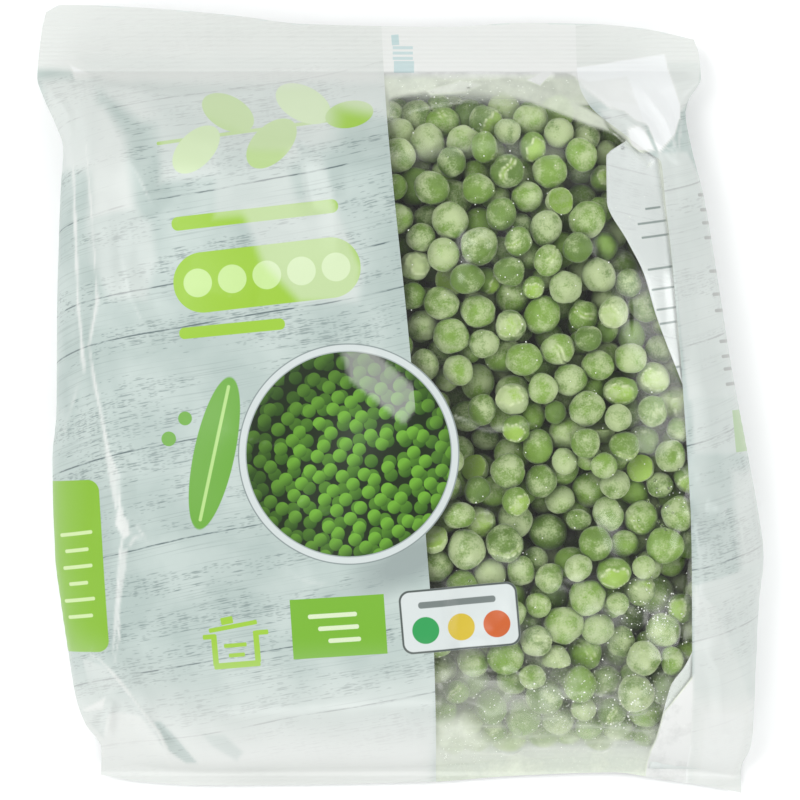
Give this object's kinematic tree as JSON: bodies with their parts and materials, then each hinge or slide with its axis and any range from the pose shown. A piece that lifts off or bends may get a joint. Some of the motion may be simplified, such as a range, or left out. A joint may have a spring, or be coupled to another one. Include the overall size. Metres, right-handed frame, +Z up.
{
  "type": "frozen vegetable bag",
  "caption": "Sealed pillow bag of pale printed film with a clear window, lying on its back and full of loose frozen peas.",
  "frame": {"origin": "on the surface that the bag lies on, under the middle of its outline", "axes": "+X to the right across the front, +Y from the bottom seal to the top seal, +Z up out of the front"},
  "size_m": [0.182, 0.1986, 0.042],
  "materials": {
    "printed_film": "printed polyethylene film, satin, with a white-washed wood print",
    "clear_film": "clear polyethylene film, glossy, with frost on its inside",
    "peas": "frozen pea skin, smooth under a patchy bloom of frost"
  },
  "bodies": {
    "root": {"pea_bag": "printed_film"}
  },
  "joints": []
}
